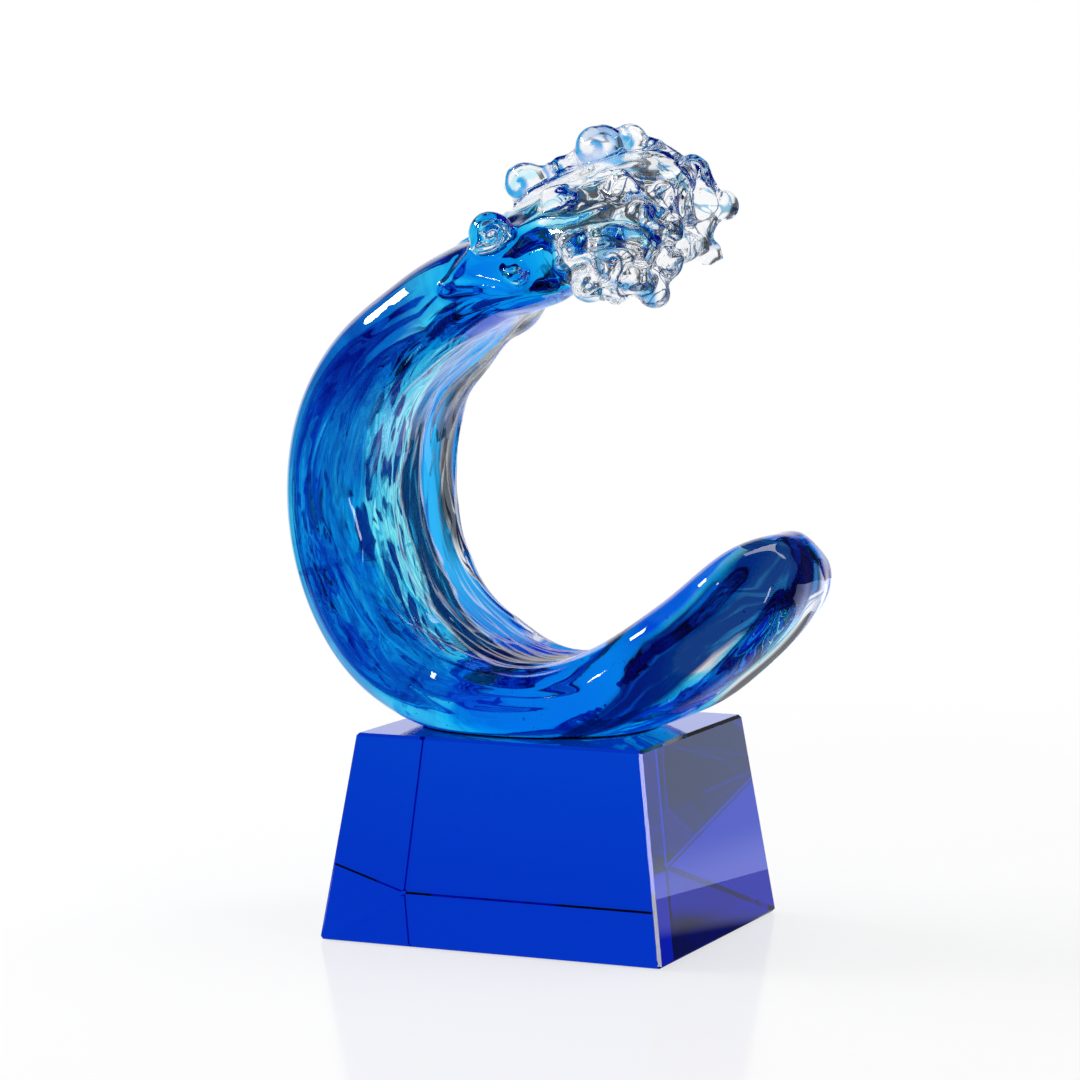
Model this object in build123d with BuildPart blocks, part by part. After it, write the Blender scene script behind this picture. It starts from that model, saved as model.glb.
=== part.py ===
"""Glass wave ornament: a hot-worked wave of cobalt glass cased in clear, with a clear
foam crest of fused-on drops, glued by its ground foot to a cut crystal base.

Frame: +Z up, +X to the right seen from the front, origin at the middle of the base's underside.
Sizes are in millimetres and angles in degrees.
"""

import math
import os

from build123d import *

# Crystal base, a block whose four sides lean in
base_width = 101.6
base_depth = 88.9
base_height = 57.15
base_top_width = 84.7
base_top_depth = 76.2
base_edge_chamfer = 0.8

# Clear adhesive between the base and the wave's foot
bond_thickness = 0.3

# Centre-line of the wave seen from the front, with heights taken from its ground foot. Angles round
# the barrel are counted from the right, and the clear crest begins at the last of them
barrel_half_width = 57.25
barrel_half_height = 56.0
barrel_squareness = 2.2
barrel_shift = 2.0
heel_angle = 225.0
shoulder_angle = 145.0
crest_root_angle = 118.0
foot_grind = 4.5
tail_bend_reach = 42.5
tail_bend_rise = 24.0
tail_reach = 73.5
tail_rise = 54.5
lip_bend_reach = 3.0
lip_bend_rise = 134.5
crown_reach = 21.0
crown_rise = 140.5
lip_reach = 37.0
lip_rise = 137.5

# Thickness of the wave in the plane of its curl, and its depth from front to back
tail_thickness = 30.0
tail_root_thickness = 33.0
foot_thickness = 25.0
heel_thickness = 34.5
back_thickness = 35.2
shoulder_thickness = 31.0
lip_thickness = 28.0
lip_edge_thickness = 26.0
tail_depth = 56.0
foot_depth = 70.0
back_depth = 72.0
shoulder_depth = 66.0
lip_depth = 58.0

# Form of the cross-section and of the two rounded ends
section_squareness = 2.6
trough_hollow = 0.25
tail_round = 20.0
lip_round = 9.0
lip_roll = 22.0
lip_slant = 16.0
section_points = 16
section_spacing = 14.0
end_section_angles = [8, 24, 44, 66]

# Cobalt core inside the clear casing: its walls, and where it starts and ends along the wave
casing_wall = 1.6
back_rim = 9.0
core_tail_gap = 7.0
core_tongue = 40.0

# Clear drops of the foam, fused on the crest: place from the crest's root (0) to the lip's edge (1),
# angle round the section (0 back, 90 top, 180 front, 270 underside), radius of the drop, height of
# its middle above the glass, and radius of the neck that carries it, or 0 where it sits on the glass
foam_drops = {
    "shoulder_bead_1": (0.36, 128, 6.1, 2.1, 0),
    "ridge_bead_1": (0.46, 70, 6.1, 3.1, 0),
    "ridge_bead_2": (0.53, 55, 2.7, 2.0, 0),
    "ridge_bead_3": (0.58, 62, 3.2, 2.4, 0),
    "ridge_bead_4": (0.71, 58, 7.0, 2.8, 0),
    "ridge_bead_5": (0.78, 40, 5.3, 3.6, 0),
    "ridge_bead_6": (0.84, 40, 2.4, 1.2, 0),
    "lip_drop_1": (0.95, 55, 4.2, 1.8, 0),
    "lip_drop_2": (0.97, 30, 4.4, 2.0, 0),
    "lip_drop_3": (0.98, 0, 4.5, 10.5, 3.0),
    "lip_drop_4": (0.98, 315, 3.9, 13.0, 2.8),
    "lip_drop_5": (0.99, 20, 4.6, 4.0, 3.6),
    "lip_drop_6": (0.99, 250, 4.2, 2.2, 0),
    "under_drop_1": (0.98, 184, 5.2, 2.8, 0),
    "under_drop_2": (0.96, 202, 4.2, 5.8, 3.0),
    "under_drop_3": (0.80, 202, 3.9, 2.7, 0),
    "under_drop_4": (0.64, 200, 5.0, 2.0, 0),
    "under_drop_5": (0.90, 186, 4.4, 1.5, 0),
    "under_drop_6": (0.76, 186, 4.4, 1.0, 0),
    "face_curl_1": (0.60, 108, 5.6, -1.7, 0),
    "face_curl_2": (0.80, 104, 4.7, -0.5, 0),
    "face_curl_3": (0.92, 98, 3.6, 0.0, 0),
    "face_curl_4": (0.98, 126, 3.6, 0.4, 0),
    "face_curl_5": (0.78, 166, 5.0, -1.0, 0),
    "face_curl_6": (0.88, 124, 3.3, 0.0, 0),
    "face_curl_7": (0.64, 168, 3.9, 0.0, 0),
    "front_curl_1": (0.38, 176, 2.5, 0.5, 0),
    "back_drop_1": (0.62, 20, 4.5, 1.5, 0),
    "back_drop_2": (0.80, 350, 4.8, 1.6, 0),
    "back_drop_3": (0.70, 330, 4.2, 1.4, 0),
    "back_drop_4": (0.90, 325, 4.0, 1.4, 0),
}

os.makedirs("parts", exist_ok=True)
foot_level = base_height + bond_thickness
ring_level = foot_level + foot_thickness / 2 - foot_grind + barrel_half_height


def save(piece, name):
    """Labels one finished piece and writes it as its own node."""
    piece.part.label = name
    export_step(piece.part, f"parts/{name}.step")


def squared_circle(angle, squareness):
    """A point of a unit circle that a squareness over 2 pushes out towards its corners."""
    turn = math.radians(angle)
    power = 2 / squareness
    x = math.copysign(abs(math.cos(turn)) ** power, math.cos(turn))
    y = math.copysign(abs(math.sin(turn)) ** power, math.sin(turn))
    return x, y


# Centre-line: tail, foot, round the back of the barrel, and over the crest
def barrel_point(angle):
    """A point of the barrel's oval, with the angle counted from the right."""
    across, up = squared_circle(angle, barrel_squareness)
    return (barrel_shift + barrel_half_width * across, 0, ring_level + barrel_half_height * up)


tail_tip = (tail_reach, 0, foot_level + tail_rise)
tail_bend = (tail_bend_reach, 0, foot_level + tail_bend_rise)
foot_middle = barrel_point(270)
heel_middle = barrel_point(heel_angle)
back_middle = barrel_point(180)
crest_root = barrel_point(crest_root_angle)
lip_bend = (lip_bend_reach, 0, foot_level + lip_bend_rise)
crown = (crown_reach, 0, foot_level + crown_rise)
lip_edge = (lip_reach, 0, foot_level + lip_rise)

with BuildLine() as centre_line:
    Spline(
        tail_tip,
        tail_bend,
        foot_middle,
        heel_middle,
        back_middle,
        barrel_point(shoulder_angle),
        crest_root,
        lip_bend,
        crown,
        lip_edge,
    )
wave_line = centre_line.edge()
wave_length = wave_line.length
root_place = wave_line.param_at_point(crest_root)

# Section sizes at places along the centre-line: (place, thickness, depth, roll, slant)
section_table = [
    (0, tail_thickness, tail_depth, 0, 0),
    (wave_line.param_at_point(tail_bend), tail_root_thickness, tail_depth, 0, 0),
    (wave_line.param_at_point(foot_middle), foot_thickness, foot_depth, 0, 0),
    (wave_line.param_at_point(heel_middle), heel_thickness, back_depth, 0, 0),
    (wave_line.param_at_point(back_middle), back_thickness, back_depth, 0, 0),
    (root_place, shoulder_thickness, shoulder_depth, 0, 0),
    (wave_line.param_at_point(lip_bend), lip_thickness, lip_depth, lip_roll, lip_slant / 2),
    (1, lip_edge_thickness, lip_depth, lip_roll, lip_slant),
]


def sizes_at(place):
    """Thickness, depth, roll and slant of the section, eased between the table's rows."""
    for low, high in zip(section_table, section_table[1:]):
        if place <= high[0]:
            share = (place - low[0]) / (high[0] - low[0])
            ease = share * share * (3 - 2 * share)
            return [a + (b - a) * ease for a, b in zip(low[1:], high[1:])]
    return section_table[-1][1:]


def roundness(place, start, end, start_round, end_round):
    """How full the section is: 1 along the wave, falling to 0 as a quarter ellipse at each end."""
    from_start = (place - start) * wave_length / start_round
    from_end = (end - place) * wave_length / end_round
    nearest = min(from_start, from_end, 1)
    return math.sqrt(max(0, 1 - (1 - nearest) ** 2))


def section_plane(place):
    """Plane across the wave: local x points to the back, local y to the outside of the curl."""
    _, _, roll, slant = sizes_at(place)
    flat = Plane(wave_line.position_at(place), x_dir=(0, 1, 0), z_dir=wave_line.tangent_at(place))
    return Plane(flat.location * Rotation(0, slant, roll))


def section_point(angle, half_depth, half_thickness):
    """A point of the rounded section, whose inner side is a shallow trough."""
    x, y = squared_circle(angle, section_squareness)
    if y < 0:
        y = y * (1 - trough_hollow * (1 - x * x))
    return (half_depth * x, half_thickness * y)


def section_face(place, half_depth, half_thickness, shift):
    """One cross-section of the wave or of its core as a face."""
    angles = [360 * k / section_points for k in range(section_points)]
    outline = [section_point(angle, half_depth, half_thickness) for angle in angles]
    with BuildSketch(section_plane(place)) as section:
        with BuildLine():
            Spline(*[(x + shift, y) for x, y in outline], periodic=True)
        make_face()
    return section.sketch.faces()[0]


def places_between(start, end, start_round, end_round):
    """Places for sections: closer together on the two rounded ends."""
    depths = [1 - math.cos(math.radians(angle)) for angle in end_section_angles]
    first = [start + start_round / wave_length * share for share in depths]
    last = [end - end_round / wave_length * share for share in depths]
    middle_start = start + start_round / wave_length
    middle_end = end - end_round / wave_length
    steps = round((middle_end - middle_start) * wave_length / section_spacing)
    middle = [middle_start + (middle_end - middle_start) * k / steps for k in range(steps + 1)]
    return first + middle + last[::-1]


def wave_sections():
    """Sections of the wave's outer form, from the tail to the lip."""
    faces = []
    for place in places_between(0, 1, tail_round, lip_round):
        thickness, depth, _, _ = sizes_at(place)
        full = roundness(place, 0, 1, tail_round, lip_round)
        faces.append(section_face(place, full * depth / 2, full * thickness / 2, 0))
    return faces


def core_sections():
    """Sections of the cobalt core, set towards the front and clear of the outer form all round."""
    start = core_tail_gap / wave_length
    end = root_place + core_tongue / wave_length
    faces = []
    for place in places_between(start, end, tail_round, core_tongue):
        thickness, depth, _, _ = sizes_at(place)
        full = roundness(place, start, end, tail_round, core_tongue)
        half_depth = full * (depth - casing_wall - back_rim) / 2
        half_thickness = full * (thickness / 2 - casing_wall)
        faces.append(section_face(place, half_depth, half_thickness, (casing_wall - back_rim) / 2))
    return faces


def crest_seat(along, around):
    """Plane on the crest's surface, facing outwards, where a drop of the foam sits."""
    place = root_place + (1 - root_place) * along
    thickness, depth, _, _ = sizes_at(place)
    full = roundness(place, 0, 1, tail_round, lip_round)
    half_sizes = (full * depth / 2, full * thickness / 2)
    before = section_point(around - 1, *half_sizes)
    after = section_point(around + 1, *half_sizes)
    across = (Vector(*after) - Vector(*before)).normalized()
    lean = math.sqrt(1 - full * full)
    section = section_plane(place)
    seat = section.from_local_coords(section_point(around, *half_sizes))
    outward = section.x_dir * across.Y * full - section.y_dir * across.X * full + section.z_dir * lean
    return Plane(Vector(seat), z_dir=outward)


# Outer form of the whole wave, ground flat under its foot, before it is divided into pieces
with BuildPart() as wave_form:
    loft(wave_sections())
    split(bisect_by=Plane.XY.offset(foot_level), keep=Keep.TOP)

# Cobalt core, ground with the foot and drawn out to a tongue in the crest
with BuildPart() as cobalt_core:
    loft(core_sections())
    split(bisect_by=Plane.XY.offset(foot_level), keep=Keep.TOP)
save(cobalt_core, "cobalt_core")

# Space over the crest's root, which divides the wave into its cased body and its crest
crest_length = (1 - root_place) * wave_length
with BuildPart() as crest_space:
    with BuildSketch(section_plane(root_place)):
        Rectangle(2 * shoulder_depth, 3 * shoulder_thickness)
    extrude(amount=1.5 * crest_length)

with BuildPart() as clear_casing:
    add(wave_form.part)
    add(crest_space.part, mode=Mode.SUBTRACT)
    add(cobalt_core.part, mode=Mode.SUBTRACT)
save(clear_casing, "clear_casing")

with BuildPart() as crest_form:
    add(wave_form.part)
    add(crest_space.part, mode=Mode.INTERSECT)

with BuildPart() as crest_lip:
    add(crest_form.part)
    add(cobalt_core.part, mode=Mode.SUBTRACT)
save(crest_lip, "crest_lip")

# Adhesive film, the shape of the ground foot
with BuildPart() as bond_film:
    foot_face = wave_form.faces().sort_by(Axis.Z)[0]
    extrude(foot_face, amount=bond_thickness)
save(bond_film, "bond_film")

# Crystal base
with BuildPart() as crystal_base:
    with BuildSketch(Plane.XY):
        Rectangle(base_width, base_depth)
    with BuildSketch(Plane.XY.offset(base_height)):
        Rectangle(base_top_width, base_top_depth)
    loft()
    chamfer(crystal_base.edges(), base_edge_chamfer)
save(crystal_base, "crystal_base")

# Foam drops: each is cut to sit on the crest and against the drops before it
drops_made = []
for name, (along, around, radius, height, neck) in foam_drops.items():
    seat = crest_seat(along, around)
    reach = radius + height if neck else radius
    middle = seat.offset(height).origin
    with BuildPart() as drop:
        with Locations(seat.offset(height)):
            Sphere(radius)
        if neck:
            with BuildSketch(seat.offset(-neck)):
                Circle(neck)
            extrude(amount=height + neck)
        add(crest_form.part, mode=Mode.SUBTRACT)
        for other, other_middle, other_reach in drops_made:
            if (middle - other_middle).length < reach + other_reach:
                add(other, mode=Mode.SUBTRACT)
    drops_made.append((drop.part, middle, reach))
    save(drop, name)
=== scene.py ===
# %% [markdown]
# # A glass wave on a cobalt crystal block
#
# This lesson dresses a imported CAD part in Blender. The real object is hot-worked glass: a cobalt gather is
# cased in clear glass, bent into a curling wave, and beads of clear foam are fused along its crest. The
# wave stands on a cut and polished block of blue crystal. Almost everything that the eye sees is light that
# has gone through glass, so the lesson spends its effort on three things: clean closed surfaces, colour
# that comes from depth, and a studio that gives the glass something to bend.

# %% [markdown]
# ## The frame
#
# The imported model holds each piece of the object at its real place and size, in metres. Nothing in it is
# moved here. The box of the solids is kept, and its size is printed.

import math

import bmesh
import bpy
import numpy as np
from mathutils import Matrix, Vector, bvhtree, noise


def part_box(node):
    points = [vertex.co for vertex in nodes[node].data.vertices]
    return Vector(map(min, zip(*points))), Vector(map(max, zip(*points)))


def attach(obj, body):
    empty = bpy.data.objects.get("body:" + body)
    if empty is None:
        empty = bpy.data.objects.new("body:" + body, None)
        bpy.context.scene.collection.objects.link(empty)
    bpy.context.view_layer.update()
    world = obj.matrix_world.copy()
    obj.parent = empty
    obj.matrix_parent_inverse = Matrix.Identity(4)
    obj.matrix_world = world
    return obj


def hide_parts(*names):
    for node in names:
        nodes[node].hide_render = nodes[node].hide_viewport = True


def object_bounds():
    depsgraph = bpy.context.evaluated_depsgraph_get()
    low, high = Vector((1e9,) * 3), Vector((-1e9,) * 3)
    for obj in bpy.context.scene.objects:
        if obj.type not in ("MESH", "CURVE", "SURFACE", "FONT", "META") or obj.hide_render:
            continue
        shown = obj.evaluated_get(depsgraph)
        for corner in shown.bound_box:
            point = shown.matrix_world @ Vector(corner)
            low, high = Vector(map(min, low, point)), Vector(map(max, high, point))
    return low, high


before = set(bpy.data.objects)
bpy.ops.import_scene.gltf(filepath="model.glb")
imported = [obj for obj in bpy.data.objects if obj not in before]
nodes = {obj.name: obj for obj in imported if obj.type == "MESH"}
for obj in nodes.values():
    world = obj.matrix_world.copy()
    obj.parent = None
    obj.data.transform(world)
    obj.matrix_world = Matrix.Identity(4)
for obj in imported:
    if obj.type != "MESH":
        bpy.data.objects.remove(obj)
solids_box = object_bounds()
scene = bpy.context.scene
solids_size = [round(1000 * side, 1) for side in solids_box[1] - solids_box[0]]
print("solids:", len(nodes), "nodes in", solids_size, "mm")

# %% [markdown]
# ## The camera
#
# The photograph was taken with a long lens from a little above the block's top, turned to the right of the
# front face. The angles, distance and lens were worked out from the block's seven visible corners. A camera
# matrix has its right, up and back directions as columns, so these three vectors place it with no
# constraint.

# %% Camera
MM = 0.001
view_azimuth = math.radians(23.64)
view_elevation = math.radians(5.53)
view_distance = 1067.4 * MM
aim_right = -3.38 * MM
aim_up = 108.16 * MM
photo_side = 1080
focal_pixels = 3795

view_back = Vector((
    math.sin(view_azimuth) * math.cos(view_elevation),
    -math.cos(view_azimuth) * math.cos(view_elevation),
    math.sin(view_elevation),
))
view_right = Vector((math.cos(view_azimuth), math.sin(view_azimuth), 0))
view_up = view_back.cross(view_right)
eye = view_back * view_distance + view_right * aim_right + view_up * aim_up

camera_data = bpy.data.cameras.new("camera")
camera_data.sensor_width = 36
camera_data.lens = camera_data.sensor_width * focal_pixels / photo_side
camera = bpy.data.objects.new("camera", camera_data)
camera.matrix_world = Matrix((
    (view_right.x, view_up.x, view_back.x, eye.x),
    (view_right.y, view_up.y, view_back.y, eye.y),
    (view_right.z, view_up.z, view_back.z, eye.z),
    (0, 0, 0, 1),
))
scene.collection.objects.link(camera)
scene.camera = camera
print("lens", round(camera_data.lens, 1), "mm at", round(view_distance, 3), "m")

# %% [markdown]
# ## Small helpers for node trees
#
# A node tree is easier to read when adding a node, setting its inputs and linking it are one line each.
# These helpers do only that: first the nodes and their sockets, then the maths and colour nodes that come
# up most.

# %% Nodes and sockets
def set_input(tree, socket, value):
    """A socket's value, or a link into it where the value is another node's output."""
    if isinstance(value, bpy.types.NodeSocket):
        tree.links.new(value, socket)
    else:
        socket.default_value = value


def add_node(tree, kind, **inputs):
    """A new node of a kind, with its inputs set or linked by name."""
    node = tree.nodes.new(kind)
    for name, value in inputs.items():
        set_input(tree, node.inputs[name.replace("_", " ")], value)
    return node


def new_material(name):
    """An empty node material, its tree and its output node."""
    material = bpy.data.materials.new(name)
    material.use_nodes = True
    material.node_tree.nodes.clear()
    output = material.node_tree.nodes.new("ShaderNodeOutputMaterial")
    return material, material.node_tree, output


# %% Maths and colour nodes
def operation_node(tree, kind, operation, values):
    """A Math or Vector Math node with its inputs filled in order."""
    node = tree.nodes.new(kind)
    node.operation = operation
    for socket, value in zip(node.inputs, values):
        set_input(tree, socket, value)
    return node


def math_node(tree, operation, *values):
    """A Math node's output."""
    return operation_node(tree, "ShaderNodeMath", operation, values).outputs[0]


def vector_node(tree, operation, output, *values):
    """A Vector Math node's output."""
    return operation_node(tree, "ShaderNodeVectorMath", operation, values).outputs[output]


def remap(tree, value, low, high, to_low=0.0, to_high=1.0):
    """A value brought smoothly from one range to another."""
    node = tree.nodes.new("ShaderNodeMapRange")
    node.interpolation_type = "SMOOTHSTEP"
    settings = {"Value": value, "From Min": low, "From Max": high, "To Min": to_low, "To Max": to_high}
    for name, setting in settings.items():
        set_input(tree, node.inputs[name], setting)
    return node.outputs["Result"]


def colour_mix(tree, factor, first, second):
    """A colour between two, by a factor."""
    node = tree.nodes.new("ShaderNodeMix")
    node.data_type = "RGBA"
    for socket, value in ((node.inputs[0], factor), (node.inputs[6], first), (node.inputs[7], second)):
        set_input(tree, socket, value)
    return node.outputs[2]


# %% [markdown]
# ## The studio: what the glass reflects
#
# Glass has almost no look of its own: it shows what stands round it. One picture wrapped round the object
# could serve everything, but reflections and bent light want different rooms. Reflections see a dark room
# with a white backdrop behind the object, so they stay thin and crisp.

# %% Reflected room
room_dark = (0.03, 0.035, 0.045, 1)
paper_white = (1, 1, 1, 1)
backdrop_edge = 0.78
backdrop_full = 0.92

world = bpy.data.worlds.new("studio")
scene.world = world
world.use_nodes = True
tree = world.node_tree
tree.nodes.clear()
direction = add_node(tree, "ShaderNodeTexCoord").outputs["Generated"]
backdrop_side = -Vector((view_back.x, view_back.y, 0)).normalized()
towards_backdrop = vector_node(tree, "DOT_PRODUCT", "Value", direction, backdrop_side)
backdrop = remap(tree, towards_backdrop, backdrop_edge, backdrop_full)
mirrored = colour_mix(tree, backdrop, room_dark, paper_white)
print("backdrop towards", [round(part, 2) for part in backdrop_side])

# %% [markdown]
# ## The studio: what shows through the glass
#
# Rays that come out of the glass see white, apart from the room's dark left side, which draws the dark
# lines in the wave. The dark side leans over with height, so that the crest keeps some of it, and it ends
# before the front of the room.

# %% Room through the glass
lean_with_height = -0.4
dark_from = -0.5
dark_to = -0.3
darkest = 0.95

height = add_node(tree, "ShaderNodeSeparateXYZ", Vector=direction).outputs["Z"]
rightward = vector_node(tree, "DOT_PRODUCT", "Value", direction, view_right)
above = math_node(tree, "MAXIMUM", height, 0.0)
leaning = math_node(tree, "MULTIPLY_ADD", above, lean_with_height, rightward)
dark_left = remap(tree, leaning, dark_from, dark_to, darkest, 0.0)
behind_front = remap(tree, towards_backdrop, -0.4, -0.1, 0.05, 1.0)
dark_left = math_node(tree, "MULTIPLY", dark_left, behind_front)
lit = math_node(tree, "SUBTRACT", 1.0, dark_left)
bent = colour_mix(tree, lit, room_dark, paper_white)
print("dark side of the room from", dark_from, "to", dark_to)

# %% [markdown]
# ## The studio: which ray sees what
#
# Light Path tells the rays apart. The camera sees plain white, and diffuse light is plain and even. Light
# that goes through thick glass meets many faces, so it is allowed more bounces than Blender gives it.

# %% World
even_light = (0.55, 0.55, 0.55, 1)
most_bounces = 32

path = add_node(tree, "ShaderNodeLightPath")
seen = colour_mix(tree, path.outputs["Is Glossy Ray"], even_light, mirrored)
seen = colour_mix(tree, path.outputs["Is Transmission Ray"], seen, bent)
seen = colour_mix(tree, path.outputs["Is Camera Ray"], seen, paper_white)
background = add_node(tree, "ShaderNodeBackground", Color=seen, Strength=1.0)
add_node(tree, "ShaderNodeOutputWorld", Surface=background.outputs[0])

scene.view_settings.view_transform = "Standard"
scene.cycles.max_bounces = most_bounces
scene.cycles.transmission_bounces = most_bounces
scene.cycles.glossy_bounces = 12
print("world: a white backdrop in a dark room")

# %% [markdown]
# ## The table's light
#
# The table is a white glossy sheet. A real one would be lit from above until it is white, but that light
# would also flood the glass. So its white comes from Light Path, at a strength of 1: it is plain white to
# the camera, white through the glass apart from the dark left side, and it carries the backdrop's white on
# into the reflections.

# %% Table light
table_material, tree, output = new_material("white_table")
path = add_node(tree, "ShaderNodeLightPath")
place = add_node(tree, "ShaderNodeTexCoord").outputs["Object"]
distance = vector_node(tree, "LENGTH", "Value", place)
side = vector_node(tree, "NORMALIZE", "Vector", place)

towards_backdrop = vector_node(tree, "DOT_PRODUCT", "Value", side, backdrop_side)
far_white = remap(tree, towards_backdrop, backdrop_edge, backdrop_full)
near_white = remap(tree, distance, 0.25, 0.5, 0.42, 0.0)
near_white = math_node(tree, "MULTIPLY", near_white, remap(tree, towards_backdrop, 0.0, 0.3))
white_behind = math_node(tree, "MAXIMUM", far_white, near_white)
mirrored = math_node(tree, "MULTIPLY", path.outputs["Is Glossy Ray"], white_behind)

rightward = vector_node(tree, "DOT_PRODUCT", "Value", side, view_right)
near = remap(tree, distance, 0.3, 0.7, 1.0, 0.0)
not_left = math_node(tree, "MAXIMUM", near, remap(tree, rightward, -0.6, -0.35, 0.1, 1.0))
through = math_node(tree, "MULTIPLY", path.outputs["Is Transmission Ray"], not_left)

lit = math_node(tree, "MAXIMUM", mirrored, through)
lit = math_node(tree, "MAXIMUM", lit, path.outputs["Is Camera Ray"])
glow_colour = colour_mix(tree, lit, room_dark, paper_white)
glow = add_node(tree, "ShaderNodeEmission", Color=glow_colour, Strength=1.0)
print("table light:", len(tree.nodes), "nodes")

# %% [markdown]
# ## The table's sheet
#
# Its own shading carries the shadow and a faint reflection of the block, so near the object the camera sees
# about a third of that and the rest is the glow. The sheet lies a hair below the block, so that no two
# faces share a plane.

# %% Floor
table_radius = 6.0
table_gap = 0.3 * MM
glow_near = 0.65

sheet = add_node(tree, "ShaderNodeBsdfPrincipled", Base_Color=(0.93, 0.93, 0.94, 1), Roughness=0.12,
                 Specular_IOR_Level=0.18)
glow_share = remap(tree, distance, 0.15, 0.6, glow_near, 1.0)
camera_share = math_node(tree, "MULTIPLY", path.outputs["Is Camera Ray"], glow_share)
bent = math_node(tree, "MAXIMUM", path.outputs["Is Glossy Ray"], path.outputs["Is Transmission Ray"])
share = math_node(tree, "MAXIMUM", bent, camera_share)
table_mix = add_node(tree, "ShaderNodeMixShader")
for socket, value in zip(table_mix.inputs, (share, sheet.outputs[0], glow.outputs[0])):
    set_input(tree, socket, value)
tree.links.new(table_mix.outputs[0], output.inputs["Surface"])

bm = bmesh.new()
bmesh.ops.create_circle(bm, cap_ends=True, radius=table_radius, segments=96)
floor_mesh = bpy.data.meshes.new("floor")
bm.to_mesh(floor_mesh)
bm.free()
floor = bpy.data.objects.new("floor", floor_mesh)
floor.location.z = -table_gap
scene.collection.objects.link(floor)
floor_mesh.materials.append(table_material)
print("table:", table_radius, "m in radius")

# %% [markdown]
# ## Lamps
#
# Soft boxes stand at the left, overhead, in front and at the right. They are what the glossy skin reflects
# as its white highlights, so their shape and place matter more than their power. None of them is seen by
# the camera or through the glass.

# %% Soft boxes
def soft_box(name, place, aim, width, height, power):
    """An area lamp that looks at a point."""
    data = bpy.data.lights.new(name, "AREA")
    data.shape = "RECTANGLE"
    data.size = width
    data.size_y = height
    data.energy = power
    lamp = bpy.data.objects.new(name, data)
    lamp.location = place
    lamp.rotation_mode = "QUATERNION"
    lamp.rotation_quaternion = (Vector(aim) - Vector(place)).to_track_quat("-Z", "Y")
    lamp.visible_camera = False
    lamp.visible_transmission = False
    scene.collection.objects.link(lamp)
    return lamp


object_centre = Vector((0, 0, 0.12))
shoulder_spot = (-0.04, -0.03, 0.17)
block_spot = (0.04, -0.04, 0.06)
soft_box("key_box", (-0.86, -0.09, 0.74), shoulder_spot, width=0.55, height=0.09, power=6)
soft_box("top_box", (0.25, 0.3, 1.15), object_centre, width=0.25, height=0.7, power=2.4)
soft_box("front_box", (-0.17, -1.22, 0.55), object_centre, width=0.1, height=0.08, power=0.7)
soft_box("right_strip", (1.1, -0.42, 0.2), block_spot, width=0.12, height=0.6, power=2.2)

# %% [markdown]
# ## A card for the block
#
# The block's right side is seen at a slant, where polished crystal reflects most. A low dim card, as a
# photographer would stand there, fills that reflection and gives the side its pale lavender sheen. It
# stands where the camera's rays go after they leave that side. Light linking keeps it off the table, where
# its reflection would draw an edge.

# %% Block card
card_way = Vector((0.41, 0.912, 0))
card_distance = 0.2
card_width = 0.3
card_rise = 18 * MM

_, block_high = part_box("crystal_base")
card_foot = Vector((block_high.x, 0, 0)) + card_way * card_distance
card_height = block_high.z + card_rise
card_place = card_foot + Vector((0, 0, card_height / 2))
block_card = soft_box("block_card", card_place, card_place - card_way, card_width, card_height, power=0.095)
block_card.data.color = (0.5, 0.6, 1.0)
block_card.visible_diffuse = False

card_unlit = bpy.data.collections.new("card_unlit")
card_unlit.objects.link(floor)
card_unlit.collection_objects[0].light_linking.link_state = "EXCLUDE"
block_card.light_linking.receiver_collection = card_unlit
print("card:", card_width, "by", round(card_height, 3), "m")

# %% [markdown]
# ## Coordinates that follow the curl
#
# Hot glass is drawn along the wave, so its streaks, cords and ripples all run round the barrel. Both the
# meshes and the shaders follow them with three numbers: the way along the curl, the distance out from the
# barrel's axis, and the place across the wave, which is plain Y. The axis is found from the frame: it lies
# half a wall and one ring radius in from the casing's left side, and a set rise above its ground foot.

# %% Barrel axis
ring_radius = 57 * MM
half_wall = 17.8 * MM
foot_rise = 64 * MM

casing_low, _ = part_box("clear_casing")
barrel_x = casing_low.x + half_wall + ring_radius
barrel_z = casing_low.z + foot_rise
print("barrel axis at", round(barrel_x / MM, 1), round(barrel_z / MM, 1), "mm")

# %% [markdown]
# ## Groups
#
# A pattern that several glasses share is a node group with named inputs, built once and placed in each
# material with its own values. The first group gives a shader the three curl coordinates.

# %% Curl coordinates
def new_group(name, inputs, outputs):
    """An empty shader node group with float inputs, and its input and output nodes."""
    group = bpy.data.node_groups.new(name, "ShaderNodeTree")
    for title, value in inputs.items():
        socket = group.interface.new_socket(title, in_out="INPUT", socket_type="NodeSocketFloat")
        socket.default_value = value
    for title, kind in outputs.items():
        group.interface.new_socket(title, in_out="OUTPUT", socket_type=kind)
    return group, group.nodes.new("NodeGroupInput"), group.nodes.new("NodeGroupOutput")


def place_group(tree, group, **values):
    """A group's node in a tree, with its inputs set or linked."""
    node = tree.nodes.new("ShaderNodeGroup")
    node.node_tree = group
    for name, value in values.items():
        set_input(tree, node.inputs[name], value)
    return node


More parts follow.
